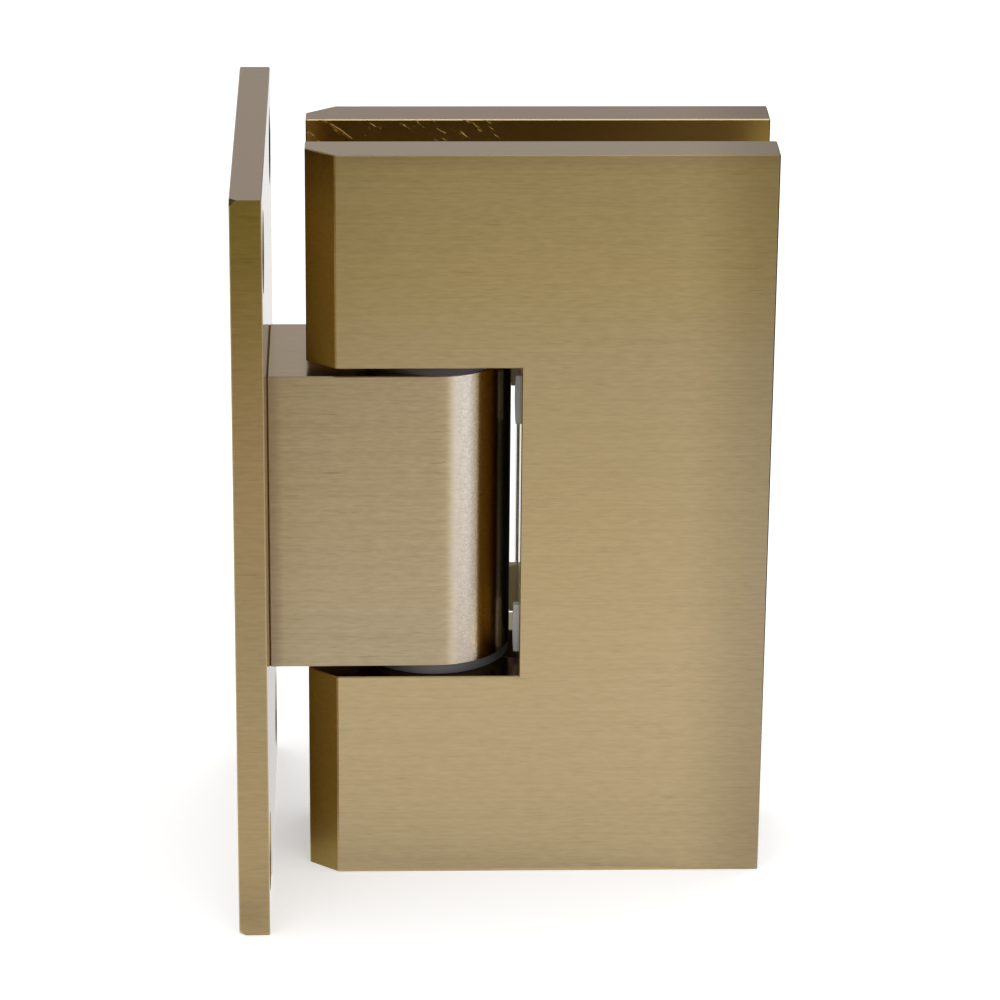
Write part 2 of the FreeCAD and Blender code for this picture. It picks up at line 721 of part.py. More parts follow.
def make_nodes():
    upper_bush = make_upper_bush()
    upper_washer = make_upper_washer()
    block_place = ("dims.slack", "0", "dims.block_screw_at")
    pin_place = (PIVOT, "dims.tongue_thick / 2 - dims.slack", "dims.pin_screw_at")
    clamp_place = (CLAMP_SCREW_X, f"{CLAMP_FACE} - dims.slack", "dims.clamp_screw_at")
    return [
        make_wall_plate(),
        make_knuckle_block(),
        screw_pair("block_screws", "block_screw", Vector(1, 0, 0), block_place),
        upper_bush,
        lower_twin(upper_bush, "lower_bush"),
        upper_washer,
        lower_twin(upper_washer, "lower_washer"),
        make_detent_spring(),
        make_pivot_pin(),
        make_front_plate(),
        make_rear_plate(),
        make_front_gasket(),
        make_rear_gasket(),
        screw_pair("pin_screws", "pin_screw", Vector(0, -1, 0), pin_place),
        screw_pair("clamp_screws", "clamp_screw", Vector(0, -1, 0), clamp_place),
    ]


def check_document():
    for obj in doc.Objects:
        if "Invalid" in obj.State or "Error" in obj.State:
            raise RuntimeError(f"{obj.Label} is {obj.State}")


def write_nodes(nodes):
    os.makedirs("parts", exist_ok=True)
    for node in nodes:
        shape = node.Shape
        if shape.isNull() or not shape.isValid() or not shape.Solids:
            raise RuntimeError(f"{node.Label} has no valid solid")
    for node in nodes:
        node.Shape.exportStep(f"parts/{node.Label}.step")
        print(f"{node.Label}: {len(node.Shape.Solids)} solid, {node.Shape.Volume / 1000:.2f} cm3")


all_nodes = make_nodes()
doc.recompute()
check_document()
write_nodes(all_nodes)
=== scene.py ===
import json
from math import radians

import bpy
from mathutils import Matrix, Vector


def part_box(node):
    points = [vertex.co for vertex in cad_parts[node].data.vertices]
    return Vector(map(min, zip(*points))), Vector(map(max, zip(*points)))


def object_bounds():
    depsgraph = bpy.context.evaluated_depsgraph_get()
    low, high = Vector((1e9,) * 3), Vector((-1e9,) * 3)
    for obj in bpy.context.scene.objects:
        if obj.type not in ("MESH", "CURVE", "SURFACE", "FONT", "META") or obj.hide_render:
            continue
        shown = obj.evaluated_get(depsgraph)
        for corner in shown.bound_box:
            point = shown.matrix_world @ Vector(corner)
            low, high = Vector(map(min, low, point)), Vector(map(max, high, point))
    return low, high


# Glass-to-wall shower door hinge in brushed brass. Everything is in metres, in the part's own frame:
# +X away from the wall, +Z up along the pivot, -Y the side of the front plate.

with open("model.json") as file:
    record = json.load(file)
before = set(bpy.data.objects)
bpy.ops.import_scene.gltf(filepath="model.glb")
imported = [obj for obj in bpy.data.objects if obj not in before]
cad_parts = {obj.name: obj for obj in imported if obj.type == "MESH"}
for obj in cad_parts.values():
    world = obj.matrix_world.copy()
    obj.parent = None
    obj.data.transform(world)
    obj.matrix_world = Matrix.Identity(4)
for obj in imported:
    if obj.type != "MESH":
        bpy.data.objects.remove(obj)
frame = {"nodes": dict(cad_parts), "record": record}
cad_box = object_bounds()
MM = 0.001

# Places of the part that the finishes and the studio follow
FOOT = cad_box[0][2]
TOP = cad_box[1][2]
WALL_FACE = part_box("wall_plate")[1][0]
KNUCKLE_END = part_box("knuckle_block")[1][0]
WASHER_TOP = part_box("upper_washer")[1][2]
CLAMP_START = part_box("front_plate")[0][0]
CLAMP_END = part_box("front_plate")[1][0]
GLASS_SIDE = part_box("rear_plate")[0][1]


class Graph:
    """A node tree with short calls for the nodes that the finishes share."""

    def __init__(self, tree):
        self.tree = tree
        tree.nodes.clear()

    def node(self, kind, sockets=None, **settings):
        """Adds a node with the given settings and feeds its sockets, which are given by name or place."""
        made = self.tree.nodes.new(kind)
        for key, setting in settings.items():
            setattr(made, key, setting)
        for key, source in (sockets or {}).items():
            self.feed(made.inputs[key], source)
        return made

    def feed(self, socket, source):
        """Links a socket to another node's output, or sets its constant."""
        if isinstance(source, bpy.types.NodeSocket):
            self.tree.links.new(source, socket)
        elif socket.type == "RGBA":
            socket.default_value = (*source, 1.0)
        else:
            socket.default_value = source

    def math(self, operation, *sources, clamp=False):
        sockets = dict(enumerate(sources))
        return self.node("ShaderNodeMath", sockets, operation=operation, use_clamp=clamp).outputs[0]

    def product(self, first, *others):
        for other in others:
            first = self.math("MULTIPLY", first, other)
        return first

    def above(self, number, limit):
        return self.math("GREATER_THAN", number, limit)

    def below(self, number, limit):
        return self.math("LESS_THAN", number, limit)

    def beyond(self, number, limit):
        """1 where a number is past the limit on either side of 0."""
        return self.above(self.math("ABSOLUTE", number), limit)

    def within(self, number, limit):
        """1 where a number is nearer to 0 than the limit."""
        return self.below(self.math("ABSOLUTE", number), limit)

    def split(self, vector):
        return self.node("ShaderNodeSeparateXYZ", {0: vector}).outputs

    def stretched(self, vector, factors):
        return self.node("ShaderNodeVectorMath", {0: vector, 1: factors}, operation="MULTIPLY").outputs[0]

    def mix(self, factor, first, second, kind="RGBA", blend="MIX"):
        """Goes from the first colour, vector or number to the second as the factor goes from 0 to 1."""
        made = self.node("ShaderNodeMix", data_type=kind, blend_type=blend)
        ending = {"RGBA": "Color", "VECTOR": "Vector", "FLOAT": "Float"}[kind]
        sources = {"Factor_Float": factor, f"A_{ending}": first, f"B_{ending}": second}
        for socket in made.inputs:
            if socket.identifier in sources:
                self.feed(socket, sources[socket.identifier])
        return next(socket for socket in made.outputs if socket.identifier == f"Result_{ending}")

    def tinted(self, colour, *tints):
        """Multiplies a colour by each tint, as far as the share in front of the tint says."""
        for share, tint in tints:
            colour = self.mix(share, colour, tint, blend="MULTIPLY")
        return colour

    def ramp(self, number, start, end):
        """Rises smoothly from 0 to 1 while a number goes up or down from start to end."""
        sockets = {"Value": number, "From Min": start, "From Max": end}
        return self.node("ShaderNodeMapRange", sockets, interpolation_type="SMOOTHSTEP").outputs["Result"]

    def noise(self, vector, scale=1.0, detail=2.0):
        sockets = {"Vector": vector, "Scale": scale, "Detail": detail}
        return self.node("ShaderNodeTexNoise", sockets).outputs[0]

    def bump(self, height, distance, strength=1.0, under=None):
        """A normal that follows a height, on top of another normal if one is given."""
        sockets = {"Height": height, "Distance": distance, "Strength": strength}
        if under:
            sockets["Normal"] = under
        return self.node("ShaderNodeBump", sockets).outputs[0]

    def surface(self, **sockets):
        """Ends the material in a shader whose sockets are named with underscores for spaces."""
        spaced = {name.replace("_", " "): source for name, source in sockets.items()}
        shader = self.node("ShaderNodeBsdfPrincipled", spaced)
        self.node("ShaderNodeOutputMaterial", {"Surface": shader.outputs[0]})


def new_material(name):
    material = bpy.data.materials.new(name)
    material.use_nodes = True
    return material, Graph(material.node_tree)


def shade(colour, share):
    return tuple(channel * share for channel in colour)


def spot_and_facing(g):
    """The place on the piece and the way its surface faces, both in the part's frame."""
    place = g.node("ShaderNodeTexCoord")
    return place.outputs["Object"], place.outputs["Normal"]


# Finishes: colours are linear, a tint is a factor on a colour, and noise scales are per metre.
# Most pairs of numbers are where a gradual change starts and ends.
# A surface counts as facing an axis where its normal has END_FACE or more along it.
END_FACE = 0.75
CLOUD_DETAIL = 3.0
RELIEF_STRENGTH = 0.3

# Brushed brass: streaks of three kinds, whose grain has one noise scale along it and one across
BRASS = (0.465, 0.352, 0.178)
PALE_STREAK = (0.60, 0.47, 0.27)
DEEP_STROKE = shade(BRASS, 0.4)
FINE_GRAIN = (560.0, 3400.0)
BROAD_GRAIN = (30.0, 2800.0)
STROKE_GRAIN = (230.0, 4200.0)
FINE_WEIGHT = 0.6
DARK_STREAKS = (0.58, 0.12)
BRIGHT_STREAKS = (0.42, 0.88)
DEEP_STROKES = (0.36, 0.20)
RAISED_STROKES = (0.64, 0.84)
STREAK_SPREAD = 0.17
DARK_SHARE = 0.9
BRIGHT_SHARE = 2.5
STROKE_SHARE = 2.0
STREAK_DEPTH = 0.02 * MM
LYING_CONTRAST = 0.4
LYING_ROUGHNESS = 0.20
BRASS_ROUGHNESS = 0.29
BRASS_SWING = 0.1
BRASS_SMEAR = 0.7
GRAZING = (0.80, 0.97)
GRAZING_ROUGHNESS = 0.10
UPRIGHT = (0.0, 0.0, 1.0)
SIDEWAYS = (0.0, 1.0, 0.0)


def grain(g, spot, end_on, along, across):
    """Noise drawn out along X, or along Y on faces that look along X."""
    stretch = g.mix(end_on, (along, across, across), (across, along, across), "VECTOR")
    return g.noise(g.stretched(spot, stretch))


def grazing_gloss(g, roughness):
    """Lets a satin metal turn glossy where it is seen almost edge-on."""
    tilt = g.node("ShaderNodeLayerWeight").outputs["Facing"]
    return g.mix(g.ramp(tilt, *GRAZING), roughness, GRAZING_ROUGHNESS, "FLOAT")


def smear_direction(g, lying):
    """The direction across the grain, in which the gloss is smeared."""
    across = g.mix(lying, UPRIGHT, SIDEWAYS, "VECTOR")
    settings = {"vector_type": "VECTOR", "convert_from": "OBJECT", "convert_to": "WORLD"}
    return g.node("ShaderNodeVectorTransform", {0: across}, **settings).outputs[0]


def brushed(g, spot, facing, spread=STREAK_SPREAD):
    """Brushed brass as named shader inputs, with streaks that differ by the given spread."""
    facing_x, _, facing_z = g.split(facing)
    end_on = g.beyond(facing_x, END_FACE)
    lying = g.beyond(facing_z, END_FACE)
    fine = grain(g, spot, end_on, *FINE_GRAIN)
    broad = grain(g, spot, end_on, *BROAD_GRAIN)
    strokes = grain(g, spot, end_on, *STROKE_GRAIN)
    streaks = g.math("ADD", g.product(fine, FINE_WEIGHT), g.product(broad, 1 - FINE_WEIGHT))
    marks = (
        (streaks, DARK_STREAKS, 1.0, shade(BRASS, 1 - DARK_SHARE * spread)),
        (streaks, BRIGHT_STREAKS, BRIGHT_SHARE * spread, PALE_STREAK),
        (strokes, DEEP_STROKES, STROKE_SHARE * spread, DEEP_STROKE),
        (strokes, RAISED_STROKES, STROKE_SHARE * spread, PALE_STREAK),
    )
    contrast = g.mix(lying, 1.0, LYING_CONTRAST, "FLOAT")
    colour = BRASS
    for noise, change, share, tone in marks:
        colour = g.mix(g.product(contrast, g.ramp(noise, *change), share), colour, tone)
    satin = grazing_gloss(g, g.math("MULTIPLY_ADD", streaks, BRASS_SWING, BRASS_ROUGHNESS))
    return {
        "Base_Color": colour,
        "Metallic": 1.0,
        "Roughness": g.mix(lying, satin, LYING_ROUGHNESS, "FLOAT"),
        "Anisotropic": BRASS_SMEAR,
        "Tangent": smear_direction(g, lying),
        "Normal": g.bump(fine, STREAK_DEPTH, RELIEF_STRENGTH),
    }


# Wall plate: front and rear edges that are darker all over, with painted light that makes them brightest
# above the middle and yellower towards the top
EDGE_TINT = (0.80, 0.79, 0.78)
UPPER_EDGE_PAINTED_LIGHT = (1.0, 0.94, 0.42)
UPPER_EDGE = (12 * MM, TOP)
MIDDLE_EDGE_PAINTED_LIGHT = (1.20, 1.12, 1.06)
MIDDLE_EDGE_RISE = (-8 * MM, 14 * MM)
MIDDLE_EDGE_FALL = (42 * MM, 22 * MM)


def wall_brass(name):
    """Brass of the wall plate, whose front and rear edges are darker, with painted light along their
    height.
    """
    material, g = new_material(name)
    spot, facing = spot_and_facing(g)
    finish = brushed(g, spot, facing)
    z = g.split(spot)[2]
    edge = g.beyond(g.split(facing)[1], END_FACE)
    middle = g.product(edge, g.ramp(z, *MIDDLE_EDGE_RISE), g.ramp(z, *MIDDLE_EDGE_FALL))
    # The edges darker all over, with painted light above the middle and a painted yellow reflection towards
    # the top
    finish["Base_Color"] = g.tinted(
        finish["Base_Color"],
        (edge, EDGE_TINT),
        (g.product(edge, g.ramp(z, *UPPER_EDGE)), UPPER_EDGE_PAINTED_LIGHT),
        (middle, MIDDLE_EDGE_PAINTED_LIGHT),
    )
    g.surface(**finish)
    return material


# Knuckle: pairs without a unit are turns of its round towards +X, from 0 to 1, or noise if named so
KNUCKLE_SPREAD = 1.5 * STREAK_SPREAD
# Painted light: the knuckle's lying faces lighter, its sides cooler and bluer towards the foot
KNUCKLE_TOP_PAINTED_LIGHT = (1.15, 1.15, 1.18)
KNUCKLE_SIDE_PAINTED_LIGHT = (0.94, 0.955, 1.06)
KNUCKLE_FOOT_PAINTED_LIGHT = (0.92, 0.955, 1.18)
KNUCKLE_FOOT = (4 * MM, -18 * MM)
ROUND = (0.1, 0.4)
GLOSSY = (0.46, 0.60)
GLOSSY_ROUGHNESS = 0.20
DOT_DETAIL = 1.0
SPARKLE_SCALE = 4000.0
SPARKLE_DEPTH = 0.02 * MM
# Painted glints: pale dots over the round, and a painted highlight strip where the round starts to turn
PAINTED_GLINT_COLOUR = (0.72, 0.62, 0.46)
GLINT_SCALE = 6000.0
GLINT_NOISE = (0.50, 0.85)
GLINT_SHARE = 0.6
HIGHLIGHT_STRIP_RISE = (0.12, 0.24)
HIGHLIGHT_STRIP_FALL = (0.34, 0.25)
HIGHLIGHT_STRIP_SHARE = 0.27
# Painted shade on the far half of the round, with painted light in its place towards the foot, short of the
# far edge
FAR_HALF = (0.42, 0.54)
FAR_HALF_PAINTED_SHADE = (0.745, 0.735, 0.67)
FAR_FOOT_PAINTED_LIGHT = (1.25, 1.20, 1.05)
FAR_FOOT = (-18 * MM, -6 * MM)
FAR_FOOT_ENDS = (0.80, 0.88)

# Seam where the knuckle meets the wall plate, and painted shade on the knuckle beside it
SEAM_BRASS = (0.46, 0.30, 0.10)
SEAM_ROUGHNESS = 0.6
SEAM = (WALL_FACE + 0.25 * MM, WALL_FACE + 0.15 * MM)
RAGGED_WIDTH = 0.1 * MM
RAGGED_SCALE = 900.0
# Painted shade on the knuckle's sides just beside the seam
BESIDE_SEAM_PAINTED_SHADE = (0.75, 0.72, 0.76)
BESIDE_SEAM = (WALL_FACE + 1.9 * MM, WALL_FACE + 0.3 * MM)


def knuckle_brass(name):
    """Brass of the knuckle: coarser streaks, a sparkling round with painted glints, a ragged seam at the
    wall plate, and painted light and shade on its faces.
    """
    material, g = new_material(name)
    spot, facing = spot_and_facing(g)
    finish = brushed(g, spot, facing, KNUCKLE_SPREAD)
    x, _, z = g.split(spot)
    turn, _, facing_z = g.split(facing)
    upright = g.within(facing_z, END_FACE)
    on_round = g.ramp(turn, *ROUND)
    glossy = g.ramp(turn, *GLOSSY)
    ragged = g.noise(spot, RAGGED_SCALE, CLOUD_DETAIL)
    seam = g.ramp(g.math("MULTIPLY_ADD", ragged, RAGGED_WIDTH, x), *SEAM)

    # Painted light: lighter lying faces, and sides cooler and bluer towards the foot
    side_painted_light = g.mix(g.ramp(z, *KNUCKLE_FOOT), KNUCKLE_SIDE_PAINTED_LIGHT, KNUCKLE_FOOT_PAINTED_LIGHT)
    colour = g.tinted(
        finish["Base_Color"],
        (1.0, g.mix(upright, KNUCKLE_TOP_PAINTED_LIGHT, side_painted_light)),
        # Painted shade beside the seam
        (g.product(upright, g.ramp(x, *BESIDE_SEAM)), BESIDE_SEAM_PAINTED_SHADE),
    )
    # Painted glints and a painted highlight strip on the round
    dots = g.ramp(g.noise(spot, GLINT_SCALE, DOT_DETAIL), *GLINT_NOISE)
    glints = g.product(on_round, dots, GLINT_SHARE)
    painted_highlight_strip = g.product(g.ramp(turn, *HIGHLIGHT_STRIP_RISE), g.ramp(turn, *HIGHLIGHT_STRIP_FALL), HIGHLIGHT_STRIP_SHARE)
    colour = g.mix(g.math("MAXIMUM", glints, painted_highlight_strip), colour, PAINTED_GLINT_COLOUR)
    # Painted shade on the far half of the round, and painted light towards its foot
    past_foot = g.math("MAXIMUM", g.ramp(z, *FAR_FOOT), g.ramp(turn, *FAR_FOOT_ENDS))
    far_painted_shading = g.mix(past_foot, FAR_FOOT_PAINTED_LIGHT, FAR_HALF_PAINTED_SHADE)
    colour = g.tinted(colour, (g.ramp(turn, *FAR_HALF), far_painted_shading))
    finish["Base_Color"] = g.mix(seam, colour, SEAM_BRASS)

    satin = g.mix(glossy, finish["Roughness"], GLOSSY_ROUGHNESS, "FLOAT")
    finish["Roughness"] = g.mix(seam, satin, SEAM_ROUGHNESS, "FLOAT")
    sparkle = g.noise(spot, SPARKLE_SCALE, DOT_DETAIL)
    relief = g.math("SUBTRACT", on_round, glossy, clamp=True)
    finish["Normal"] = g.bump(sparkle, SPARKLE_DEPTH, relief, under=finish["Normal"])
    g.surface(**finish)
    return material


# Clamp plates: painted light and shade on the front faces, tops and the end away from the wall, and a
# painted highlight on the edges that face halfway up
UPPER_FACE_PAINTED_LIGHT = (1.01, 0.99, 0.84)
UPPER_FACE = (19 * MM, 32 * MM)
LOWER_FACE_PAINTED_LIGHT = (1.02, 1.03, 1.12)
LOWER_FACE = (8 * MM, -26 * MM)
UPPER_RIM_PAINTED_SHADE = (0.89, 0.87, 0.89)
UPPER_RIM = (TOP - 2.5 * MM, TOP)
FRONT_TOP_PAINTED_LIGHT = (1.09, 1.12, 1.19)
REAR_TOP_PAINTED_SHADE = (0.91, 0.87, 0.85)
TOP_FROM = TOP - 1 * MM
FREE_END_PAINTED_SHADE = (0.74, 0.74, 0.76)
FREE_END = (CLAMP_END - 11 * MM, CLAMP_END + 0.5 * MM)
UPPER_END_PAINTED_SHADE = (0.92, 0.875, 0.72)
UPPER_END = (0.0, TOP)
# Painted highlight along the edges that face halfway up
PAINTED_EDGE_HIGHLIGHT = (0.80, 0.62, 0.30)
HIGHLIGHT_EDGE_ROUGHNESS = 0.25
HIGHLIGHT_EDGE_FACING = (0.707, 0.05)

# Clamp plates: the bevel on the wall side, with painted shade that deepens towards the wall and the top. It
# and the edges with the painted highlight are known by a normal and a tolerance
BEVEL_FACING = (-0.62, 0.1)
BEVEL_END = CLAMP_START + 3.3 * MM
BEVEL_WALL_PAINTED_SHADE = (0.50, 0.43, 0.19)
BEVEL_FRONT_PAINTED_SHADE = (0.67, 0.60, 0.33)
BEVEL_BRIGHTENS = (CLAMP_START - 1.1 * MM, CLAMP_START + 3.4 * MM)
BEVEL_TOP_PAINTED_SHADE = (0.60, 0.55, 0.45)
BEVEL_TOP = (TOP - 9 * MM, TOP)

# Clamp plates: the notch around the knuckle, with painted shade on its faces
NOTCH_END = KNUCKLE_END + 0.95 * MM
NOTCH_HALF = WASHER_TOP + 0.1 * MM
NOTCH_MOUTH_PAINTED_SHADE = (1.0, 0.85, 0.32)
NOTCH_PAINTED_SHADE = (0.40, 0.30, 0.10)
NOTCH_DEEPENS = (-7 * MM, -5 * MM)
NOTCH_DEEP_PAINTED_SHADE = (0.25, 0.18, 0.06)

# Clamp plates: raw cast faces towards the glass, with slanting folds that fade away from the wall
CAST_BRASS = (0.54, 0.355, 0.105)
CAST_HALF = GLASS_SIDE + 0.05 * MM
CAST_ROUGHNESS = (0.30, 0.46)
CAST_DULLS = (34 * MM, CLAMP_END + 0.5 * MM)
FOLD_SLANT = radians(-35)
FOLD_STRETCH = (430.0, 430.0, 1700.0)
FOLD_NOISE = (0.60, 0.90)
FOLD_DEPTH = 0.20 * MM
FOLDS_FADE = (34 * MM, 27 * MM)


def cast_folds(g, spot, x):
    """A normal with the folds of a raw cast face."""
    turned = g.node("ShaderNodeVectorRotate", {"Vector": spot, "Angle": FOLD_SLANT}, rotation_type="Y_AXIS")
    folds = g.noise(g.stretched(turned.outputs[0], FOLD_STRETCH))
    return g.bump(g.product(g.ramp(folds, *FOLD_NOISE), g.ramp(x, *FOLDS_FADE)), FOLD_DEPTH)


def clamp_brass(name):
    """Brass of a clamp plate: brushed outside, raw from the mould on the side of the glass."""
    material, g = new_material(name)
    spot, facing = spot_and_facing(g)
    finish = brushed(g, spot, facing)
    x, y, z = g.split(spot)
    facing_x, facing_y, facing_z = g.split(facing)
    inside = g.within(y, CAST_HALF)
    in_front = g.below(y, 0.0)
    front = g.below(facing_y, -END_FACE)
    top = g.product(g.above(facing_z, END_FACE), g.above(z, TOP_FROM))
    free_end = g.ramp(x, *FREE_END)
    bevel = g.math("COMPARE", facing_x, *BEVEL_FACING)
    beside_knuckle = g.product(g.within(z, NOTCH_HALF), g.below(x, NOTCH_END))
    notch_wall = g.product(beside_knuckle, g.below(facing_x, -END_FACE))
    notch_deep = g.product(beside_knuckle, g.beyond(facing_z, END_FACE), in_front)
    sharp = g.product(in_front, g.above(x, BEVEL_END))
    # Edges that get the painted highlight, apart from the sharp front ones
    painted_highlight_edge = g.math("SUBTRACT", g.math("COMPARE", facing_z, *HIGHLIGHT_EDGE_FACING), sharp, clamp=True)

    # Painted light and shade: front faces warmer at the top, cooler lower down and darker at the upper rim,
    # front tops lighter, rear tops darker, and the free end darker and warmer towards its top
    colour = g.tinted(
        g.mix(inside, finish["Base_Color"], CAST_BRASS),
        (g.product(front, g.ramp(z, *UPPER_FACE)), UPPER_FACE_PAINTED_LIGHT),
        (g.product(front, g.ramp(z, *LOWER_FACE)), LOWER_FACE_PAINTED_LIGHT),
        (g.product(front, g.ramp(z, *UPPER_RIM)), UPPER_RIM_PAINTED_SHADE),
        (top, g.mix(in_front, REAR_TOP_PAINTED_SHADE, FRONT_TOP_PAINTED_LIGHT)),
        (free_end, FREE_END_PAINTED_SHADE),
        (g.product(free_end, g.ramp(z, *UPPER_END)), UPPER_END_PAINTED_SHADE),
        # Painted shade on the bevel, deepest at the wall and towards the top
        (bevel, g.mix(g.ramp(x, *BEVEL_BRIGHTENS), BEVEL_WALL_PAINTED_SHADE, BEVEL_FRONT_PAINTED_SHADE)),
        (g.product(bevel, g.ramp(z, *BEVEL_TOP)), BEVEL_TOP_PAINTED_SHADE),
        # Painted shade in the notch: its wall darker away from the front face, its lying faces darkest
        (notch_wall, g.mix(g.ramp(y, *NOTCH_DEEPENS), NOTCH_MOUTH_PAINTED_SHADE, NOTCH_PAINTED_SHADE)),
        (notch_deep, NOTCH_DEEP_PAINTED_SHADE),
    )
    # Painted highlight on the edges that face halfway up
    finish["Base_Color"] = g.mix(painted_highlight_edge, colour, PAINTED_EDGE_HIGHLIGHT)
    cast_satin = g.mix(g.ramp(x, *CAST_DULLS), *CAST_ROUGHNESS, "FLOAT")
    satin = g.mix(inside, finish["Roughness"], cast_satin, "FLOAT")
    finish["Roughness"] = g.mix(painted_highlight_edge, satin, HIGHLIGHT_EDGE_ROUGHNESS, "FLOAT")
    finish["Normal"] = g.mix(inside, finish["Normal"], cast_folds(g, spot, x), "VECTOR")
    g.surface(**finish)
    return material


# Plain metals and mouldings: cloudy tones, and pits that only catch the light
METAL_CLOUDS = 900.0
METAL_TONES = (0.88, 1.08)
METAL_SWING = 0.15
METAL_PITS = 5000.0
SOFT_CLOUDS = 500.0
SOFT_TONES = (0.92, 1.06)
SOFT_SWING = 0.12
SOFT_PITS = 6000.0
SOFT_GLOSS = 0.25
PIT_DEPTH = 0.01 * MM


def pitted(g, spot, scale):
    return g.bump(g.noise(spot, scale), PIT_DEPTH, RELIEF_STRENGTH)


def plain_metal(name, colour, roughness):
    material, g = new_material(name)
    spot, _ = spot_and_facing(g)
    cloud = g.noise(spot, METAL_CLOUDS, CLOUD_DETAIL)
    g.surface(
        Base_Color=g.mix(cloud, *(shade(colour, tone) for tone in METAL_TONES)),
        Metallic=1.0,
        Roughness=g.math("MULTIPLY_ADD", cloud, METAL_SWING, roughness),
        Normal=pitted(g, spot, METAL_PITS),
    )
    return material


def moulded(name, colour, roughness):
    material, g = new_material(name)
    spot, _ = spot_and_facing(g)
    cloud = g.noise(spot, SOFT_CLOUDS, CLOUD_DETAIL)
    g.surface(
        Base_Color=g.mix(cloud, *(shade(colour, tone) for tone in SOFT_TONES)),
        Roughness=g.math("MULTIPLY_ADD", cloud, SOFT_SWING, roughness),
        Specular_IOR_Level=SOFT_GLOSS,
        Normal=pitted(g, spot, SOFT_PITS),
    )
    return material


# Gaskets: milky grey, with tabs that show in the notch, of which the lower ones are paler from painted
# light and the upper ones darker from painted shade; the rear tabs take a painted brass reflection, and
# painted shade darkens the gasket just behind the tabs
GASKET_GREY = (0.45, 0.46, 0.46)
GASKET_PALE = (0.76, 0.76, 0.73)
# Painted reflection: the rear tabs take the tan of the brass reflected in them
REAR_TAB_PAINTED_REFLECTION = (0.82, 0.64, 0.32)
# Painted shade for the gasket just behind the tabs
GASKET_PAINTED_SHADE = (0.06, 0.06, 0.058)
GASKET_ROUGHNESS = 0.38
GASKET_CLEAR = 0.5
GASKET_IOR = 1.4
TAB_CLEAR = 0.2
# Painted shade on the upper tabs and painted light on the lower ones
TAB_PAINTED_SHADE_AND_LIGHT = (0.8, 1.18)
TAB_PAINTED_LIGHT_SPAN = (4 * MM, -4 * MM)
TAB_END = (KNUCKLE_END + 1.15 * MM, KNUCKLE_END + 1.65 * MM)
GASKET_NOTCH_HALF = 21 * MM
# The painted shade reaches from the tabs to here
PAINTED_SHADE_TO = (42 * MM, 40 * MM)


def gasket_rubber(name, colour):
    """Milky rubber, of the given colour at its free tabs, with painted light on the lower tabs, painted
    shade on the upper ones and painted shade just behind the tabs.
    """
    material, g = new_material(name)
    spot, _ = spot_and_facing(g)
    x, _, z = g.split(spot)
    at_notch = g.within(z, GASKET_NOTCH_HALF)
    past_tab = g.ramp(x, *TAB_END)
    at_tab = g.math("SUBTRACT", at_notch, past_tab, clamp=True)
    # Painted shade on the gasket just behind the tabs, within the notch
    shaded_behind_tab = g.product(at_notch, past_tab, g.ramp(x, *PAINTED_SHADE_TO))
    # Painted shade on the upper tabs, painted light on the lower ones
    tab = g.mix(g.ramp(z, *TAB_PAINTED_LIGHT_SPAN), *(shade(colour, tone) for tone in TAB_PAINTED_SHADE_AND_LIGHT))
    cloud = g.noise(spot, SOFT_CLOUDS, CLOUD_DETAIL)
    g.surface(
        Base_Color=g.mix(shaded_behind_tab, g.mix(at_tab, GASKET_GREY, tab), GASKET_PAINTED_SHADE),
        Roughness=g.math("MULTIPLY_ADD", cloud, SOFT_SWING, GASKET_ROUGHNESS),
        Transmission_Weight=g.mix(at_tab, GASKET_CLEAR, TAB_CLEAR, "FLOAT"),
        IOR=GASKET_IOR,
        Normal=pitted(g, spot, SOFT_PITS),
    )
    return material


# Colours of the plain pieces
STEEL = (0.56, 0.56, 0.57)
GROUND_STEEL = (0.60, 0.60, 0.61)
BLUED_STEEL = (0.25, 0.26, 0.30)
WASHER_GREY = (0.060, 0.052, 0.052)
# Painted light: the lower washer is the same plastic as the upper one, made lighter
LOWER_WASHER_PAINTED_LIGHT = (0.115, 0.110, 0.108)
BUSH_CREAM = (0.74, 0.71, 0.63)
WASHER_ROUGHNESS = 0.45

# Finishes that belong to one node, and those that a material slot of the record gives to all its nodes
OWN_FINISHES = {
    "wall_plate": wall_brass("wall_brass"),
    "knuckle_block": knuckle_brass("knuckle_brass"),
    "front_plate": clamp_brass("front_brass"),
    "rear_plate": clamp_brass("rear_brass"),
    # The lower washer's colour holds painted light
    "lower_washer": moulded("lower_washer", LOWER_WASHER_PAINTED_LIGHT, WASHER_ROUGHNESS),
    "front_gasket": gasket_rubber("front_gasket", GASKET_PALE),
    # The rear gasket's tabs carry a painted brass reflection
    "rear_gasket": gasket_rubber("rear_gasket", REAR_TAB_PAINTED_REFLECTION),
}
SHARED_FINISHES = {
    "plated_screws": plain_metal("plated_screws", BRASS, roughness=0.32),
    "steel_screws": plain_metal("steel_screws", STEEL, roughness=0.34),
    "pin_steel": plain_metal("pin_steel", GROUND_STEEL, roughness=0.22),
    "spring_steel": plain_metal("spring_steel", BLUED_STEEL, roughness=0.30),
    "washer_plastic": moulded("washer_plastic", WASHER_GREY, WASHER_ROUGHNESS),
    "bush_plastic": moulded("bush_plastic", BUSH_CREAM, roughness=0.40),
}


def dress_nodes():
    for part in frame["record"]["subparts"]:
        name = part["node"]
        for slot in frame["nodes"][name].material_slots:
            slot.material = OWN_FINISHES.get(name) or SHARED_FINISHES[part["material_slot"]]


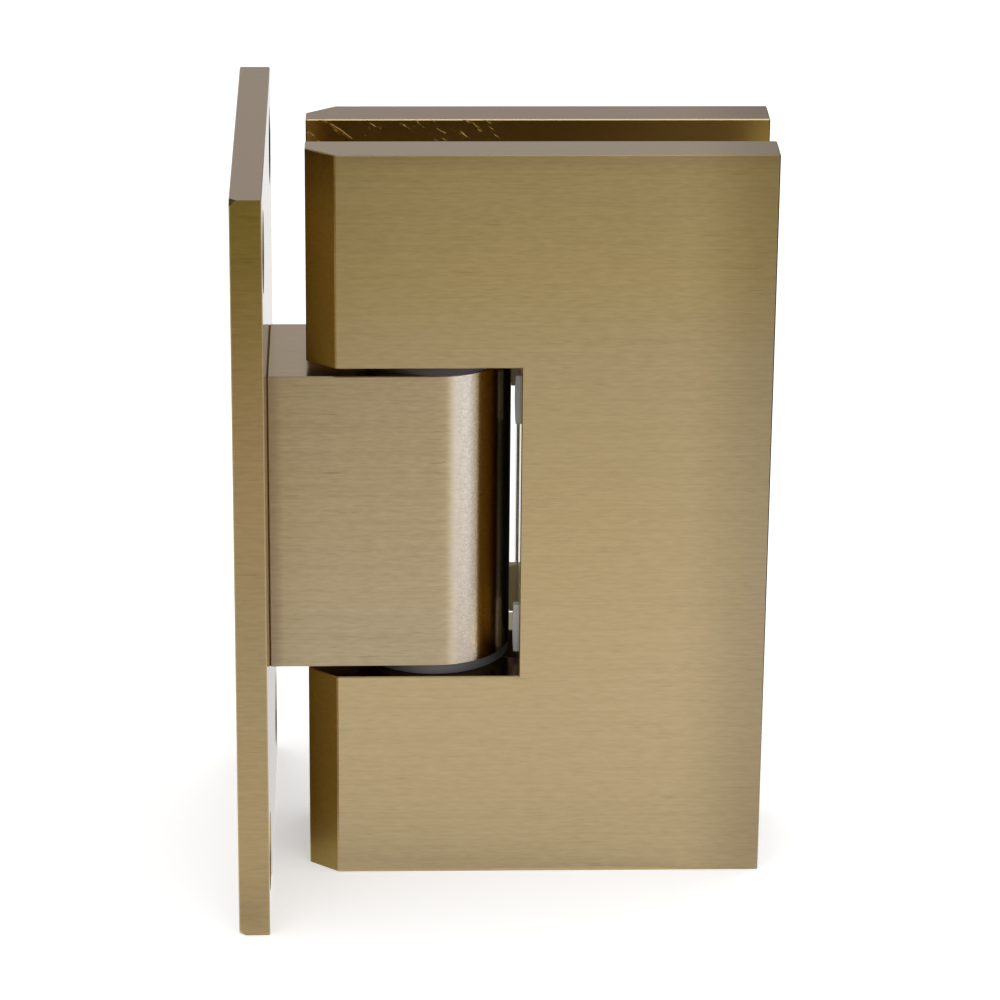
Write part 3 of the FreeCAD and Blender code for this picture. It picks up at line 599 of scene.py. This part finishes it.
# Studio: white surroundings, a pale floor and a soft lamp overhead
WHITE = (1.0, 1.0, 1.0)
BLACK = (0.0, 0.0, 0.0)
FILL = 0.75
FLOOR_SIZE = 16.0
FLOOR_COLOUR = (0.80, 0.80, 0.80)
FLOOR_GLOW = 0.45
FLOOR_ROUGHNESS = 0.8
LAMP_SIZE = 0.9
LAMP_POWER = 3.0
LAMP_PLACE = (0.03, -0.05, 0.9)

# Cards that show only in reflections and through the gaskets. Flags dim what they stand or lie in front of
WARM = (1.0, 0.94, 0.82)
AMBER = (1.0, 0.80, 0.28)
COOL = (0.76, 0.79, 1.0)
PALE = (0.86, 0.855, 1.0)
BLUE = (0.42, 0.54, 1.0)
OVER_FLOOR = FOOT + 0.2 * MM
OVER_FLAGS = OVER_FLOOR + 0.2 * MM

# Standing cards: name, start and end on the floor, height, colour, strength
STANDING_CARDS = (
    ("front_left_card", (-0.30, -0.17), (0.008, -0.17), 0.50, AMBER, 0.10),
    ("front_card", (0.0, -0.25), (0.12, -0.25), 0.50, WARM, 0.12),
    ("right_flag", (0.11, -0.026), (0.11, 0.20), 0.22, WHITE, 0.02),
    ("left_flag", (-0.30, -0.25), (-0.30, 0.30), 0.50, WHITE, 0.06),
    ("back_card", (-0.60, 0.45), (0.60, 0.45), 0.60, PALE, 0.62),
)

# Level cards: name, size, middle, colour, strength, turn
LEVEL_CARDS = (
    ("ceiling", (1.4, 1.4), (0.0, 0.0, 0.60), COOL, 0.45, 0.0),
    ("top_softbox", (0.6, 0.28), (0.03, -0.26, 0.55), WHITE, 1.6, 0.0),
    ("left_softbox", (0.30, 0.40), (-0.50, 0.05, 0.55), WARM, 1.5, 0.0),
    # Painted shade: the flags that lie on the floor are darker patches near the part, standing in for the
    # floor's shade in reflections
    ("foot_flag", (0.115, 0.024), (0.06, -0.023, OVER_FLOOR), WHITE, 1.0, 0.0),
    ("corner_flag", (0.046, 0.008), (0.029, -0.0108, OVER_FLAGS), WHITE, 0.81, radians(9)),
    ("wall_foot_flag", (0.008, 0.008), (0.003, -0.032, OVER_FLOOR), WHITE, 0.8, 0.0),
    ("behind_flag", (0.035, 0.38), (0.0125, 0.25, OVER_FLOOR), WHITE, 0.94, 0.0),
    ("behind_near_flag", (0.035, 0.07), (0.0125, 0.025, OVER_FLOOR), WHITE, 0.76, 0.0),
    ("right_glow", (0.07, 0.15), (0.148, -0.1225, OVER_FLOOR), BLUE, 5.2, radians(46)),
)


def seen_share(g):
    """1 for rays that show the studio, straight, mirrored or through the gaskets, and 0 for the rest."""
    path = g.node("ShaderNodeLightPath")
    mirrored = g.math("MAXIMUM", path.outputs["Is Glossy Ray"], path.outputs["Is Transmission Ray"])
    return g.math("MAXIMUM", path.outputs["Is Camera Ray"], mirrored)


def make_world():
    world = bpy.data.worlds.new("studio")
    world.use_nodes = True
    g = Graph(world.node_tree)
    strength = g.mix(seen_share(g), FILL, 1.0, "FLOAT")
    background = g.node("ShaderNodeBackground", {"Color": WHITE, "Strength": strength})
    g.node("ShaderNodeOutputWorld", {"Surface": background.outputs[0]})
    bpy.context.scene.world = world


def new_sheet(name, width, height):
    """A flat rectangle about the origin that faces +Z, ready to be turned."""
    half = Vector((width / 2, height / 2, 0))
    corners = [(-half.x, -half.y, 0), (half.x, -half.y, 0), (half.x, half.y, 0), (-half.x, half.y, 0)]
    mesh = bpy.data.meshes.new(name)
    mesh.from_pydata(corners, [], [(0, 1, 2, 3)])
    sheet = bpy.data.objects.new(name, mesh)
    bpy.context.scene.collection.objects.link(sheet)
    return sheet


def make_floor():
    floor = new_sheet("floor", FLOOR_SIZE, FLOOR_SIZE)
    floor.location.z = FOOT
    material, g = new_material("floor")
    g.surface(
        Base_Color=FLOOR_COLOUR,
        Roughness=FLOOR_ROUGHNESS,
        Specular_IOR_Level=0.0,
        Emission_Color=WHITE,
        Emission_Strength=g.product(seen_share(g), FLOOR_GLOW),
    )
    floor.data.materials.append(material)


def glowing(sheet, colour, strength):
    """Gives a sheet its light, and hides it from the camera, from shadows and from diffuse light."""
    material, g = new_material(sheet.name)
    g.surface(
        Base_Color=BLACK,
        Specular_IOR_Level=0.0,
        Emission_Color=colour,
        Emission_Strength=strength,
    )
    sheet.data.materials.append(material)
    sheet.visible_camera = False
    sheet.visible_shadow = False
    sheet.visible_diffuse = False


def standing_card(name, start, end, height, colour, strength):
    """A card that stands on the floor from one point of it to another."""
    start, end = Vector(start), Vector(end)
    sheet = new_sheet(name, (end - start).length, height)
    middle = (start + end) / 2
    sheet.location = (middle.x, middle.y, FOOT + height / 2)
    sheet.rotation_euler = (radians(90), 0.0, Vector((1.0, 0.0)).angle_signed(start - end))
    glowing(sheet, colour, strength)


def level_card(name, size, place, colour, strength, turn):
    sheet = new_sheet(name, *size)
    sheet.location = place
    sheet.rotation_euler.z = turn
    glowing(sheet, colour, strength)


def make_lamp():
    lamp = bpy.data.lights.new("overhead", "AREA")
    lamp.shape = "SQUARE"
    lamp.size = LAMP_SIZE
    lamp.energy = LAMP_POWER
    overhead = bpy.data.objects.new("overhead", lamp)
    overhead.location = LAMP_PLACE
    overhead.visible_glossy = False
    bpy.context.scene.collection.objects.link(overhead)


def make_studio():
    make_world()
    make_floor()
    for card in STANDING_CARDS:
        standing_card(*card)
    for card in LEVEL_CARDS:
        level_card(*card)
    make_lamp()


# Camera: where the eye is, how it is turned, and its lens on a square picture
EYE = Vector((14.37, -486.9, 194.0)) * MM
LOOK_DOWN = radians(21.79)
LOOK_RIGHT = radians(1.94)
LEAN = radians(0.52)
LENS = 159.1
SENSOR = 36.0


def make_camera():
    data = bpy.data.cameras.new("camera")
    data.sensor_fit = "HORIZONTAL"
    data.sensor_width = SENSOR
    data.lens = LENS
    camera = bpy.data.objects.new("camera", data)
    turn = Matrix.Rotation(-LOOK_RIGHT, 4, "Z") @ Matrix.Rotation(radians(90) - LOOK_DOWN, 4, "X")
    camera.matrix_world = Matrix.Translation(EYE) @ turn @ Matrix.Rotation(LEAN, 4, "Z")
    bpy.context.scene.collection.objects.link(camera)
    bpy.context.scene.camera = camera


dress_nodes()
make_studio()
make_camera()
bpy.context.scene.view_settings.view_transform = "Standard"
